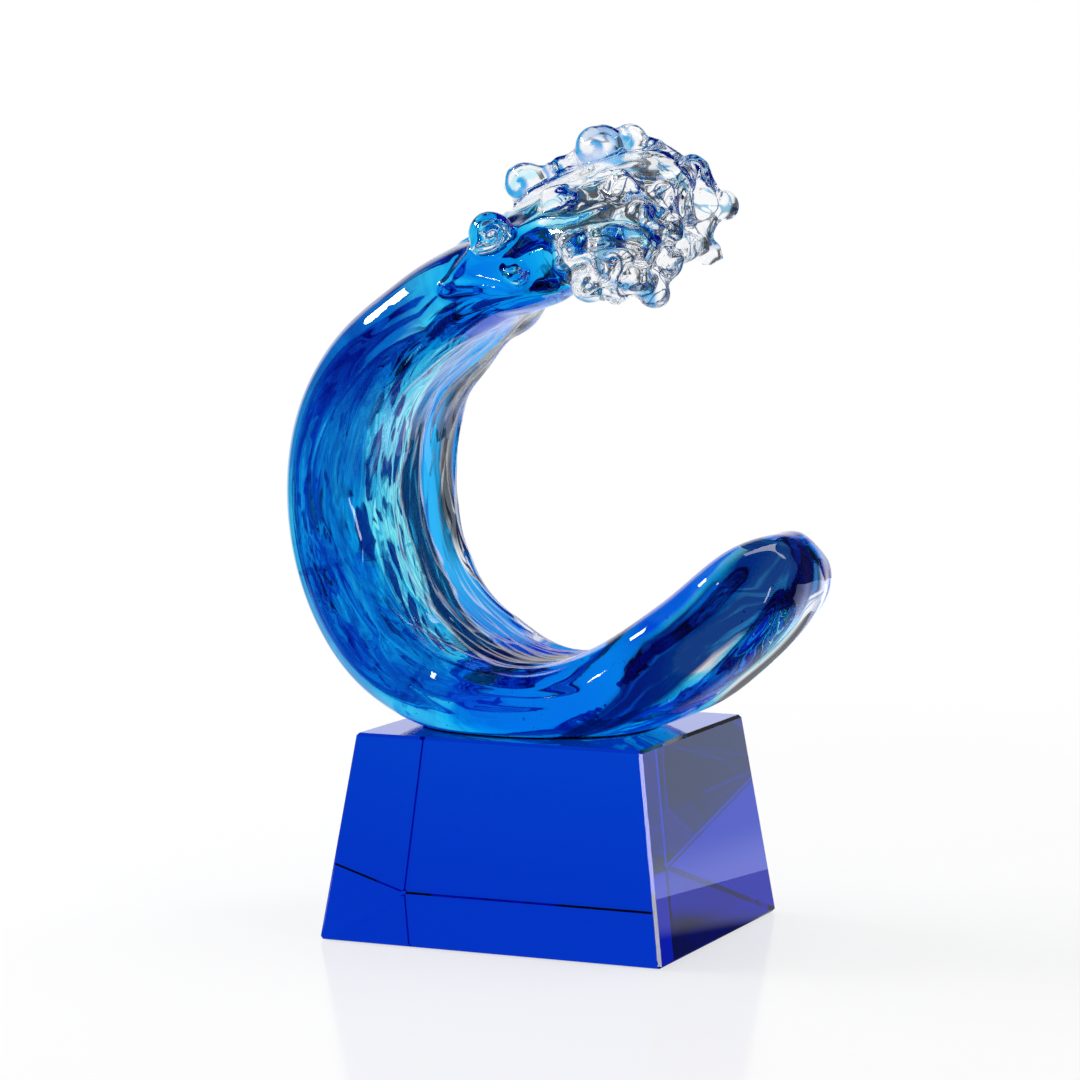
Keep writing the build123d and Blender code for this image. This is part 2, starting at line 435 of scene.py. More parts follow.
curl_group, _, leave = new_group("curl_coordinates", {}, {"Curl": "NodeSocketVector"})
place = add_node(curl_group, "ShaderNodeTexCoord").outputs["Object"]
parts = add_node(curl_group, "ShaderNodeSeparateXYZ", Vector=place)
left = math_node(curl_group, "SUBTRACT", barrel_x, parts.outputs["X"])
up = math_node(curl_group, "SUBTRACT", parts.outputs["Z"], barrel_z)
along = math_node(curl_group, "MULTIPLY", math_node(curl_group, "ARCTAN2", up, left), ring_radius)
flat = add_node(curl_group, "ShaderNodeCombineXYZ", X=left, Y=up, Z=0.0)
outward = vector_node(curl_group, "LENGTH", "Value", flat.outputs[0])
curl = add_node(curl_group, "ShaderNodeCombineXYZ", X=along, Y=outward, Z=parts.outputs["Y"])
curl_group.links.new(curl.outputs[0], leave.inputs["Curl"])
print("group:", curl_group.name)

# %% [markdown]
# ## Drawn streaks
#
# One group makes the streaks for the cobalt and the clear glass: noise squeezed along the curl, so that
# each speck becomes a long thread. Each material places it with its own fineness and contrast.

# %% Streak group
streak_group, enter, leave = new_group(
    "drawn_streaks",
    {"Along": 0.0, "Side": 0.0, "Fineness": 300.0, "Length": 0.12, "Low": 0.35, "High": 0.65},
    {"Streak": "NodeSocketFloat"},
)
way = math_node(streak_group, "MULTIPLY", enter.outputs["Along"], enter.outputs["Length"])
squeezed = add_node(streak_group, "ShaderNodeCombineXYZ", X=way, Y=enter.outputs["Side"], Z=0.0)
threads = add_node(streak_group, "ShaderNodeTexNoise", Vector=squeezed.outputs[0],
                   Scale=enter.outputs["Fineness"], Detail=4.0, Roughness=0.55, Distortion=0.3)
streak = remap(streak_group, threads.outputs[0], enter.outputs["Low"], enter.outputs["High"])
streak_group.links.new(streak, leave.inputs["Streak"])
print("group:", streak_group.name)

# %% [markdown]
# ## Combed cells
#
# A comb drawn through soft glass leaves long cells with bright veins between them. A Voronoi pattern,
# squeezed along the curl and bent by a little noise, has just that shape: the distance to a cell's edge
# draws the vein.

# %% Cell group
vein_core = 0.6

cells_group, enter, leave = new_group(
    "combed_cells",
    {"Along": 0.0, "Side": 0.0, "Fineness": 120.0, "Length": 0.2, "Warp": 0.006, "Width": 0.15},
    {"Vein": "NodeSocketFloat"},
)
fineness = enter.outputs["Fineness"]
warp = enter.outputs["Warp"]
width = enter.outputs["Width"]
way = math_node(cells_group, "MULTIPLY", enter.outputs["Along"], enter.outputs["Length"])
squeezed = add_node(cells_group, "ShaderNodeCombineXYZ", X=way, Y=enter.outputs["Side"], Z=0.0).outputs[0]
sway = add_node(cells_group, "ShaderNodeTexNoise", Vector=squeezed, Scale=fineness, Detail=2.0)
sway = vector_node(cells_group, "SUBTRACT", "Vector", sway.outputs[1], (0.5, 0.5, 0.5))
amount = add_node(cells_group, "ShaderNodeCombineXYZ", X=warp, Y=warp, Z=warp)
swayed = vector_node(cells_group, "MULTIPLY_ADD", "Vector", sway, amount.outputs[0], squeezed)
edges = add_node(cells_group, "ShaderNodeTexVoronoi", Vector=swayed)
edges.feature = "DISTANCE_TO_EDGE"
set_input(cells_group, edges.inputs["Scale"], fineness)
inner = math_node(cells_group, "MULTIPLY", width, vein_core)
vein = remap(cells_group, edges.outputs["Distance"], inner, width, 1.0, 0.0)
cells_group.links.new(vein, leave.inputs["Vein"])
print("group:", cells_group.name)

# %% [markdown]
# ## Polish
#
# Polished glass is never perfectly even. A faint cloud of smudges and wipe marks changes the roughness a
# little from place to place. The block and the adhesive under the wave share it.

# %% Polish group
polish_group, enter, leave = new_group(
    "polish_marks",
    {"Most": 0.04, "Size": 60.0},
    {"Roughness": "NodeSocketFloat"},
)
spot = add_node(polish_group, "ShaderNodeTexCoord").outputs["Object"]
smudge = add_node(polish_group, "ShaderNodeTexNoise", Vector=spot, Scale=enter.outputs["Size"], Detail=3.0)
level = remap(polish_group, smudge.outputs[0], 0.5, 0.75, 0.0, enter.outputs["Most"])
polish_group.links.new(level, leave.inputs["Roughness"])
print("group:", polish_group.name)

# %% [markdown]
# ## The glasses
#
# Colour in thick glass comes from depth: a thin place is pale aqua and a thick one deep cobalt, because red
# is soaked up first and green next. Painting the surface blue would give one flat shade. Volume Absorption
# takes one colour and lets the depth do the rest, so it is used for the block here and for the cobalt core
# below.

# %% Glass materials
def glass(name, tint, ior):
    """Glass with a smooth transmitting skin: the material, its tree, its output and its skin."""
    material, tree, output = new_material(name)
    skin = add_node(tree, "ShaderNodeBsdfPrincipled", Base_Color=tint, Roughness=0.0, IOR=ior,
                    Transmission_Weight=1.0)
    tree.links.new(skin.outputs[0], output.inputs["Surface"])
    return material, tree, output, skin


def soak(tree, output, colour, density):
    """Colour that deepens with the way that light goes through the glass."""
    depth = add_node(tree, "ShaderNodeVolumeAbsorption", Color=colour, Density=density)
    tree.links.new(depth.outputs[0], output.inputs["Volume"])


crystal_white = (0.97, 0.98, 1, 1)
crystal_blue = (0.04, 0.74, 0.957, 1)
adhesive_white = (0.98, 0.99, 1, 1)
clear_white = (0.985, 0.99, 1, 1)

crystal, tree, output, crystal_skin = glass("cobalt_crystal", crystal_white, ior=1.52)
soak(tree, output, crystal_blue, density=138)
marks = place_group(tree, polish_group, Most=0.012, Size=45.0)
tree.links.new(marks.outputs["Roughness"], crystal_skin.inputs["Roughness"])

adhesive, tree, _, adhesive_skin = glass("clear_adhesive", adhesive_white, ior=1.02)
marks = place_group(tree, polish_group, Most=0.02, Size=90.0)
tree.links.new(marks.outputs["Roughness"], adhesive_skin.inputs["Roughness"])

clear, clear_tree, _, clear_skin = glass("clear_glass", clear_white, ior=1.5)

for name, material in (("crystal_base", crystal), ("bond_film", adhesive)):
    nodes[name].data.materials.clear()
    nodes[name].data.materials.append(material)
print("glasses:", [material.name for material in (crystal, adhesive, clear)])

# %% [markdown]
# ## The wave's solids
#
# On the bench the casing, the crest and the foam drops melt together, so light meets one continuous
# surface. Drawn as separate solids they would show a seam at each joint. So they are gathered in one mesh
# in progress, to be melted further on. The core belongs in it too, because it fills the hollow in the
# casing. A tree of the faces answers quickly where a ray meets the wave.

# %% Wave solids
foam_endings = ("_bead_", "_drop_", "_curl_")
weld_distance = 2e-6


def joined_solids(members):
    """A mesh in progress that holds copies of several CAD nodes, with split corners welded."""
    bm = bmesh.new()
    for member in members:
        bm.from_mesh(nodes[member].data)
    bmesh.ops.remove_doubles(bm, verts=bm.verts, dist=weld_distance)
    return bm


foam_nodes = [name for name in nodes if name.rstrip("0123456789").endswith(foam_endings)]
wave_solids = joined_solids(["clear_casing", "crest_lip", "cobalt_core", *foam_nodes])
wave_tree = bvhtree.BVHTree.FromBMesh(wave_solids)
crest_tree = bvhtree.BVHTree.FromBMesh(joined_solids(["crest_lip", "clear_casing"]))
print("wave:", len(wave_solids.faces), "faces and", len(foam_nodes), "foam drops")

# %% [markdown]
# ## Necks of the foam
#
# Each drop was touched to the crest while both were hot, so glass was drawn out between them in a neck.
# Without necks the foam would look like loose pearls. A neck is a chain of balls with a waist, which the
# remesh then melts into one form. A displaced texture couldn't make such an overhang, and sculpting by hand
# couldn't be repeated.

# %% Necks
neck_steps = 8
neck_waist = 0.25
width_at_drop = 0.97
width_at_crest = 1.1
relief_balls = []


def neck(name):
    """Glass drawn out between a foam drop and the crest under it."""
    low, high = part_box(name)
    middle = (low + high) / 2
    radius = min(high - low) / 2
    foot, _, _, _ = crest_tree.find_nearest(middle)
    for i in range(neck_steps + 1):
        share = i / neck_steps
        waist = 1 - neck_waist * math.sin(math.pi * share)
        width = width_at_drop * (1 - share) + width_at_crest * share
        relief_balls.append((middle.lerp(foot, share), radius * width * waist))


for name in foam_nodes:
    neck(name)
print("balls in the necks:", len(relief_balls))

# %% [markdown]
# ## Webs of the foam
#
# Where drops sit side by side their glass ran together in a web. That is one more chain of balls, from the
# middle of each drop to the next. The drops are named in the order in which they sit along the crest, the
# lip and below it.

# %% Webs
web_steps = 10


def web(names, radius):
    """Glass that runs together between neighbouring drops."""
    for first, second in zip(names, names[1:]):
        start = sum(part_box(first), Vector()) / 2
        end = sum(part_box(second), Vector()) / 2
        for i in range(1, web_steps):
            relief_balls.append((start.lerp(end, i / web_steps), radius))


web(["ridge_bead_1", "ridge_bead_3", "ridge_bead_4", "ridge_bead_5", "ridge_bead_6", "lip_drop_1"], 3.0 * MM)
web(["lip_drop_1", "lip_drop_2", "lip_drop_3", "lip_drop_4", "lip_drop_6", "under_drop_1"], 5.0 * MM)
web(["under_drop_4", "under_drop_3", "under_drop_5", "under_drop_2", "under_drop_1"], 4.0 * MM)
print("balls with the webs:", len(relief_balls))

# %% [markdown]
# ## From a pixel to a point of the wave
#
# Curls of the foam and zones of colour are placed by pixels of the photograph. A pixel is a direction from
# the camera, and a ray sent that way finds the point of the wave that the pixel shows. Placing them by hand
# in space would take many tries, and this takes one.

# %% Photo pixels
def photo_ray(column, row):
    """Direction from the camera through a pixel of the photograph."""
    across = (column - photo_side / 2) / focal_pixels
    down = (row - photo_side / 2) / focal_pixels
    return (view_right * across - view_up * down - view_back).normalized()


def on_wave(place, towards):
    """The point of the wave under a place, looking along a direction, and its normal."""
    hit, normal, _, _ = wave_tree.ray_cast(place, towards)
    return hit, normal


def photo_spot(column, row):
    """The point of the wave that a pixel shows, and its normal."""
    return on_wave(eye, photo_ray(column, row))


middle_ray = photo_ray(photo_side / 2, photo_side / 2)
print("the photo's middle looks along", [round(part, 2) for part in middle_ray])

# %% [markdown]
# ## Curls on the crest's front
#
# Between the drops, the crest's glass was teased into little spirals. A spiral is laid out flat over the
# glass, and each of its points is dropped onto it. Each curl has its pixel, its radius in millimetres and
# its turns.

# %% Front curls
curl_thread = 1.1 * MM
steps_per_turn = 16
curl_closing = 0.85
furthest_hit = 1.6
fewest_points = 4
front_curls = {
    (491, 234): (5.6, 1.9), (556, 203): (5.4, 1.7), (622, 192): (5.0, 1.5), (662, 196): (3.8, 1.5),
    (672, 230): (3.6, 1.4), (525, 183): (4.8, 1.5), (640, 264): (4.0, 1.4), (602, 147): (4.6, 1.6),
    (690, 170): (3.4, 1.4), (712, 202): (3.8, 1.5), (704, 244): (3.6, 1.4), (653, 287): (3.4, 1.4),
    (589, 284): (3.6, 1.5), (617, 287): (2.8, 1.3), (631, 142): (3.6, 1.3),
}


def chain(points, radius):
    """Balls along a line of points, thinner at its ends."""
    last = len(points) - 1
    for i, point in enumerate(points):
        taper = 0.55 + 0.45 * math.sin(math.pi * (0.1 + 0.8 * i / last))
        relief_balls.append((point, radius * taper))


def spiral(centre, normal, radius, turns):
    """A spiral ridge on the wave about a point."""
    side = normal.orthogonal().normalized()
    other = normal.cross(side)
    points = []
    steps = int(turns * steps_per_turn)
    for i in range(steps + 1):
        share = i / steps
        angle = share * turns * 2 * math.pi
        arm = radius * (1 - curl_closing * share)
        above = centre + (side * math.cos(angle) + other * math.sin(angle)) * arm + normal * radius
        hit, _ = on_wave(above, -normal)
        if hit is not None and (hit - centre).length < furthest_hit * radius:
            points.append(hit)
    if len(points) >= fewest_points:
        chain(points, curl_thread)


front_relief = 0
for (column, row), (radius, turns) in front_curls.items():
    hit, normal = photo_spot(column, row)
    if hit is not None:
        spiral(hit, normal, radius * MM, turns)
        front_relief += 1
print("curls on the crest's front:", front_relief)

# %% [markdown]
# ## Folds on the crest's front
#
# Longer ridges run between the curls, where the soft glass was pushed into folds. Each is a line of pixels,
# and the same chain of balls lies along it.

# %% Front folds
fold_radius = 1.7 * MM
front_folds = [
    [(506, 214), (545, 194), (588, 180), (626, 171)],
    [(508, 236), (540, 222), (574, 219), (602, 208)],
    [(575, 236), (610, 227), (640, 233), (656, 250)],
    [(560, 264), (586, 251), (620, 247), (650, 257)],
    [(640, 216), (664, 229), (690, 241), (708, 250)],
    [(688, 200), (694, 225), (690, 250), (672, 263)],
    [(504, 269), (512, 277), (524, 277)],
]


def photo_line(line, steps):
    """Pixels spread evenly along each leg of a line of pixels."""
    for (column, row), (next_column, next_row) in zip(line, line[1:]):
        for i in range(steps):
            share = i / steps
            yield column + (next_column - column) * share, row + (next_row - row) * share


for fold in front_folds:
    hits = [photo_spot(column, row)[0] for column, row in photo_line(fold, steps=10)]
    hits = [hit for hit in hits if hit is not None]
    if len(hits) >= fewest_points:
        chain(hits, fold_radius)
        front_relief += 1
print("curls and folds on the crest's front:", front_relief)

# %% [markdown]
# ## Curls on the crest's back
#
# The photograph doesn't show the back, so its curls are a guess: the same spirals, spread evenly over the
# crest by the golden angle, which places points on a ball with no rows and no gaps. Those that would land
# on the front are left out.

# %% Back curls
curl_tries = 60
golden = math.pi * (3 - math.sqrt(5))
crest_reach = 0.12
crest_low, crest_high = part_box("crest_lip")
crest_middle = (crest_low + crest_high) / 2
lowest_curl = crest_low.z + 12 * MM

back_curls = 0
for i in range(curl_tries):
    tall = 1 - 2 * (i + 0.5) / curl_tries
    ring = math.sqrt(1 - tall * tall)
    outward = Vector((ring * math.cos(i * golden), ring * math.sin(i * golden), tall))
    hit, normal = on_wave(crest_middle + outward * crest_reach, -outward)
    if hit is not None and normal.dot(view_back) < 0.1 and hit.z > lowest_curl:
        spiral(hit, normal, (3.0 + 2.0 * abs(math.sin(2.3 * i))) * MM, 1.3 + 0.15 * (i % 4))
        back_curls += 1
print("curls on the crest's back and top:", back_curls)

# %% [markdown]
# ## Melting
#
# To melt solids together, they are remeshed on a fine grid, which keeps their shape and drops the inner
# walls. A Boolean union would keep every seam sharp. Swelling the mesh, remeshing it and drawing it back in
# again fills each crevice with a soft fillet, as melted glass does.

# %% Melting helpers
def add_grid(piece, voxel):
    """A modifier that rebuilds a piece on an even grid."""
    grid = piece.modifiers.new("grid", "REMESH")
    grid.mode = "VOXEL"
    grid.voxel_size = voxel


def add_swell(piece, amount):
    """A modifier that moves a piece's surface out, or in where the amount is negative."""
    swell = piece.modifiers.new("swell", "DISPLACE")
    swell.mid_level = 0.0
    swell.strength = amount


def melt(piece, voxel, fillet, smoothing):
    """Rebuilds a piece's mesh on a grid, with its crevices filled and its steps smoothed away."""
    add_grid(piece, voxel)
    if fillet:
        for amount in (fillet, -fillet):
            add_swell(piece, amount)
            add_grid(piece, voxel)
    soften = piece.modifiers.new("soften", "SMOOTH")
    soften.factor = 0.5
    soften.iterations = smoothing
    bpy.context.view_layer.update()
    mesh = bpy.data.meshes.new_from_object(piece.evaluated_get(bpy.context.evaluated_depsgraph_get()))
    piece.modifiers.clear()
    piece.data = mesh
    mesh.shade_smooth()
    return piece


# %% [markdown]
# ## The skin
#
# Solids and balls go through one melt. The grid is 0.6 mm, which is fine enough for the threads of the
# curls, and the fillets are 0.7 mm.

# %% Skin
def ball_mesh(balls):
    """One mesh of many small balls."""
    bm = bmesh.new()
    bmesh.ops.create_icosphere(bm, subdivisions=1, radius=1.0)
    corners = np.array([v.co for v in bm.verts])
    faces = np.array([[v.index for v in f.verts] for f in bm.faces])
    bm.free()
    points = np.concatenate([np.array(place) + corners * radius for place, radius in balls])
    loops = np.concatenate([faces + i * len(corners) for i in range(len(balls))])
    mesh = bpy.data.meshes.new("balls")
    mesh.from_pydata(points.tolist(), [], loops.tolist())
    return mesh


def new_piece(name, bm):
    """An object from a mesh in progress."""
    mesh = bpy.data.meshes.new(name)
    bm.to_mesh(mesh)
    bm.free()
    piece = bpy.data.objects.new(name, mesh)
    scene.collection.objects.link(piece)
    return piece


wave_solids.from_mesh(ball_mesh(relief_balls))
skin = melt(new_piece("wave_skin", wave_solids), voxel=0.6 * MM, fillet=0.7 * MM, smoothing=5)
print("skin:", len(skin.data.vertices), "points")

# %% [markdown]
# ## The wave as a flow
#
# The ripples in the glass follow the wave's middle line. In curl coordinates that line is a radius for each
# angle: a plain ring round the barrel, wider where the tail and the lip swing away. How far a point lies in
# or out of that line tells the trough from the back. Points are worked on as arrays, all at once, because
# there are very many of them.

# %% Middle line
middle_line = {-172: 72, -135: 57, -90: 56, 0: 57.2, 62: 56.6, 91: 70.5, 104: 78.8, 116: 81.4}
middle_angles = [math.radians(degrees) for degrees in middle_line]
middle_radii = [radius * MM for radius in middle_line.values()]


def mesh_points(mesh):
    """A mesh's vertices and normals as arrays."""
    points = np.empty(len(mesh.vertices) * 3)
    normals = np.empty(len(mesh.vertices) * 3)
    mesh.vertices.foreach_get("co", points)
    mesh.vertices.foreach_get("normal", normals)
    return points.reshape(-1, 3), normals.reshape(-1, 3)


def curl_of(points):
    """Angle about the barrel, way along the curl, distance out from the middle line and place across."""
    left = barrel_x - points[:, 0]
    up = points[:, 2] - barrel_z
    angle = np.arctan2(up, left)
    outward = np.hypot(left, up) - np.interp(angle, middle_angles, middle_radii)
    return angle, angle * ring_radius, outward, points[:, 1]


points, normals = mesh_points(skin.data)
angle, along, outward, across = curl_of(points)
print("skin lies up to", round(float(outward.max()) / MM, 1), "mm out from its middle line")

# %% [markdown]
# ## Ripples in the trough
#
# The trough was combed with a tool while it was soft, so it carries long grooves and narrower dents between
# them, all drawn along the curl. The outer side was left smooth. Sharp ridges between soft hollows come
# from noise that is folded where it crosses zero. The heights are added up first and the points are moved
# once.

# %% Trough ripples
groove_height = 0.8
dent_height = 0.3


def ease(values, start, end):
    """0 before start and 1 after end, smooth between."""
    share = np.clip((values - start) / (end - start), 0, 1)
    return share * share * (3 - 2 * share)


def drawn_noise(along, outward, across, length, width, where, seed):
    """Noise stretched along the curl, at the points where it is wanted."""
    out = np.zeros(len(along))
    offset = Vector((seed * 17.3, seed * 5.1, seed * 9.7))
    for i in np.flatnonzero(where):
        out[i] = noise.noise(Vector((along[i] / length, outward[i] / width, across[i] / width)) + offset)
    return out


def ridged(values):
    """Sharp ridges where the noise crosses zero, with soft hollows between."""
    return np.clip(1 - np.abs(values) / 0.45, 0, 1) ** 1.5


trough = ease(-outward, -8 * MM, 5 * MM) * ease(angle, -2.3, -1.6) * (1 - ease(angle, 1.05, 1.35))
where = trough > 0.01
grooves = ridged(drawn_noise(along, outward, across, 55 * MM, 9 * MM, where, seed=1))
dents = ridged(drawn_noise(along, outward, across, 34 * MM, 4.5 * MM, where, seed=2))
height = trough * (groove_height * grooves + dent_height * dents) * MM
print("ripples up to", round(float(height.max()) / MM, 2), "mm on", int(where.sum()), "points")

# %% [markdown]
# ## Folds of the tail and the crest's root
#
# The tail folded softly as it was drawn out, and one long crease runs down its side. Where the crest grows
# out of the wave, two ridges were pinched up, and the far rim sinks a little below it. Each follows a line
# of pixels: the nearer a point of the skin is to the line, the more it moves.

# %% Folds and creases
fold_height = 1.3
crease_depth = 1.5 * MM
rim_depth = 3.4 * MM
pinch_height = 1.1 * MM
tail_crease = [(748, 588), (715, 625), (650, 680), (575, 733)]
far_rim = [(522, 336), (510, 350)]
pinches = [
    [(446, 287), (464, 262), (480, 243)],
    [(446, 287), (480, 286), (520, 292), (560, 288)],
]


def crease(points, line, width):
    """How near each point is to a line of photo pixels cast onto the wave: 1 on the line, 0 far from it."""
    near = np.full(len(points), 1e9)
    for column, row in photo_line(line, steps=12):
        hit, _ = photo_spot(column, row)
        if hit is not None:
            near = np.minimum(near, ((points - np.array(hit)) ** 2).sum(1))
    return np.exp(-near / width ** 2)


tail = 1 - ease(angle, -2.35, -2.0)
tail_folds = drawn_noise(along, outward, across, 50 * MM, 11 * MM, tail > 0.01, seed=4)
height += tail * ease(outward, -6 * MM, 6 * MM) * fold_height * tail_folds * MM
height -= crease_depth * crease(points, tail_crease, width=5 * MM)
height -= rim_depth * crease(points, far_rim, width=7 * MM)
for pinch in pinches:
    height += pinch_height * crease(points, pinch, width=1.6 * MM)
print("relief from", round(float(height.min()) / MM, 1), "to", round(float(height.max()) / MM, 1), "mm")

# %% [markdown]
# ## Lumps of the crest
#
# The crest was worked most, so its glass is lumpy all over. Plain noise in space serves here, because the
# lumps don't run along the curl. With it the relief is complete, and the skin's points are moved out along
# their normals.

# %% Crest lumps
lump_size = 9 * MM
lump_height = 1.3

crest = ease(angle, 1.15, 1.45)
lumps = np.zeros(len(points))
for i in np.flatnonzero(crest > 0.01):
    lumps[i] = noise.noise(Vector(points[i]) / lump_size)
height += crest * lump_height * lumps * MM


def move_points(mesh, points):
    """Puts a mesh's vertices at new places."""
    mesh.vertices.foreach_set("co", points.ravel())
    mesh.update()


move_points(skin.data, points + normals * height[:, None])
print("lumps on", int((crest > 0.01).sum()), "points")

# %% [markdown]
# ## Seeds
#
# A few seeds, the glassmaker's word for tiny bubbles, are trapped in the wave's lower half. Each is a small
# ball whose faces look inward, so that light leaves the glass there and enters it again. Fixed steps of
# irrational numbers spread them without a random draw.

# %% Seeds
seed_count = 90
seed_steps = (0.618034, 0.754878, 0.569840)
first_angle = -2.75
angle_span = 2.6

seed_balls = []
for i in range(seed_count):
    spread = [(i * step) % 1.0 for step in seed_steps]
    at = first_angle + angle_span * spread[0]
    reach = np.interp(at, middle_angles, middle_radii) + (spread[1] - 0.5) * 16 * MM
    seed_y = (spread[2] - 0.75) * 44 * MM
    spot = Vector((barrel_x - reach * math.cos(at), seed_y, barrel_z + reach * math.sin(at)))
    seed_balls.append((spot, (0.16 + 0.22 * spread[1] * spread[2]) * MM))
seeds = ball_mesh(seed_balls)
seeds.flip_normals()

bm = bmesh.new()
bm.from_mesh(skin.data)
bm.from_mesh(seeds)
bm.to_mesh(skin.data)
bm.free()
skin.data.shade_smooth()
print("seeds:", seed_count)

# %% [markdown]
# ## Lines between the colours
#
# In the photograph the trough's colours lie side by side in long zones, and so do the tail's. Their borders
# are drawn here as lines of pixels, from the crest's root round to the foot and from the tail's end to the
# foot.

# %% Zone lines
trough_lines = [
    [(560, 286), (520, 291), (478, 300), (440, 320), (410, 340), (390, 360), (370, 400), (350, 440),
     (343, 470), (336, 500), (337, 530), (348, 560), (366, 590), (386, 620), (412, 650), (445, 672),
     (490, 680), (540, 672)],
    [(560, 292), (520, 302), (490, 318), (462, 340), (442, 360), (418, 400), (407, 440), (402, 470),
     (402, 500), (408, 530), (415, 560), (423, 590), (434, 620), (452, 645), (490, 664), (540, 664)],
    [(562, 296), (528, 312), (500, 326), (473, 345), (454, 365), (433, 400), (422, 440), (420, 470),
     (423, 500), (428, 530), (441, 560), (452, 590), (471, 620), (495, 645), (530, 656), (560, 655)],
    [(563, 299), (540, 314), (513, 331), (490, 350), (470, 372), (448, 410), (441, 440), (438, 470),
     (441, 500), (446, 530), (457, 560), (484, 590), (508, 620), (535, 642), (560, 649)],
]
tail_lines = [
    [(803, 540), (774, 540), (742, 548), (717, 573), (698, 595), (673, 619), (644, 640), (625, 665),
     (617, 693), (597, 714), (557, 737)],
    [(820, 590), (793, 605), (774, 614), (742, 636), (717, 655), (682, 687), (644, 712), (616, 728)],
]
print("zone lines:", len(trough_lines), "in the trough and", len(tail_lines), "in the tail")

# %% [markdown]
# ## Zones of colour
#
# Cast onto the wave, the lines of pixels become lines on the glass, and every point of the skin is told
# where it lies between them: 0 on the first line, 1 on the next. An image texture would need the skin
# unwrapped. A mesh attribute carries that number to the shader without it.

# %% Zone places
def round_section(points):
    """Angle along the curl, and angle round the section: 0 in front, negative into the barrel."""
    angle, _, outward, across = curl_of(points)
    turn = np.arctan2(outward, -across)
    return angle, np.where(turn > 2.2, turn - 2 * math.pi, turn)


def zone_places(points, lines, sense, margin, reach):
    """Where each point lies between lines of photo pixels: 0 on the first line, 1 on the next."""
    angle, turn = round_section(points)
    borders = []
    first, last = math.pi, -math.pi
    for line in lines:
        spots = [photo_spot(column, row)[0] for column, row in line]
        spots = np.array([spot for spot in spots if spot is not None])
        line_angle, line_turn = round_section(spots)
        order = np.argsort(line_angle)
        borders.append(sense * np.interp(angle, line_angle[order], line_turn[order]))
        first = min(first, line_angle.min())
        last = max(last, line_angle.max())
    borders = [borders[0] - margin, *borders, borders[-1] + margin, borders[-1] + 2 * margin]
    zone = np.full(len(points), -1.0)
    for i, (start, end) in enumerate(zip(borders, borders[1:])):
        share = (sense * turn - start) / np.maximum(end - start, 1e-4)
        zone = np.where(share > 0, i - 1 + np.clip(share, 0, 1), zone)
    return np.where((angle > first - reach) & (angle < last + 0.05), zone, -1.0)


def give_attribute(title, values):
    """A number on each point of the skin, which the shader can read by its name."""
    skin.data.attributes.new(title, "FLOAT", "POINT").data.foreach_set("value", values)
    print(title, "from", round(float(values.min()), 2), "to", round(float(values.max()), 2))


skin_points, _ = mesh_points(skin.data)
give_attribute("trough_zone", zone_places(skin_points, trough_lines, sense=-1, margin=0.5, reach=0.05))
give_attribute("tail_zone", zone_places(skin_points, tail_lines, sense=1, margin=0.9, reach=0.5))

# %% [markdown]
# ## Blue in the beads
#
# The larger beads hold a swirl of blue, drawn round as the hot bead was twisted on. A spiral about each
# bead's middle, seen along Y, is a sine of the angle plus the distance out. It goes to the shader as one
# more attribute.

# %% Bead spirals
spiral_twist = 6.0


def bead_spirals(points, names):
    """Colour drawn round into beads: 1 on the arms of a spiral about each bead's middle, 0 between them."""
    drawn = np.zeros(len(points))
    for name in names:
        low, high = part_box(name)
        radius = max(high - low) / 2
        arm = (points - np.array((low + high) / 2)) / radius
        reach = np.sqrt((arm ** 2).sum(1))
        stripe = np.sin(np.arctan2(arm[:, 2], arm[:, 0]) + spiral_twist * np.hypot(arm[:, 0], arm[:, 2]))
        drawn = np.maximum(drawn, ease(stripe, 0.0, 0.6) * (1 - ease(reach, 1.1, 1.3)))
    return drawn


swirled_beads = [name for name in foam_nodes if name.startswith("ridge_bead")] + ["lip_drop_1", "lip_drop_2"]
give_attribute("bead_blue", bead_spirals(skin_points, swirled_beads))

# %% [markdown]
# ## The skin takes its place
#
# The finished skin rides on the part's only body and stands in for the casing, the crest and all the foam.
# It is clear glass, and its marks are painted further below, when the core is in place.

# %% Skin's place
skin.data.materials.append(clear)
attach(skin, "root")
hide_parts("clear_casing", "crest_lip", *foam_nodes)
print("skin:", len(skin.data.polygons), "faces")

# %% [markdown]
# ## Cobalt threads in the crest
#
# The coloured core is a body of its own within the clear glass. As the crest was drawn out, some threads of
# the core ran on into it. They are chains of balls again, along lines of pixels, set a few millimetres
# behind the glass that the pixels show. Each has its line, its radius and its depth, in millimetres.

# %% Cobalt threads
cobalt_threads = [
    ([(535, 240), (566, 226), (592, 224)], 4.0, 7),
    ([(500, 236), (530, 216), (560, 202), (600, 186), (628, 172)], 1.9, 7),
    ([(512, 192), (520, 180), (534, 176)], 2.2, 4),
    ([(640, 172), (672, 182), (692, 198)], 1.6, 6),
    ([(600, 232), (634, 228), (648, 246)], 2.6, 8),
]
thread_balls = []
for line, radius, depth in cobalt_threads:
    for column, row in photo_line(line, steps=8):
        hit, _ = photo_spot(column, row)
        if hit is not None:
            thread_balls.append((hit + photo_ray(column, row) * (depth * MM), radius * MM))
print("balls in the cobalt threads:", len(thread_balls))

# %% [markdown]
# ## The cobalt core
#
# The core is melted like the skin, on a coarser grid. Its CAD solid meets the casing face to face. Two
# glass faces in one place make black specks, so every point of the core is brought at least a little below
# the skin. Near the top of the ring its far side reaches out further, so that the shoulder is blue right
# across.

# %% Core
core_inset = 0.4 * MM
skin_gap = 0.5 * MM
far_swell = 0.14
skin_tree = bvhtree.BVHTree.FromPolygons(
    [vertex.co for vertex in skin.data.vertices],
    [list(face.vertices) for face in skin.data.polygons],
)


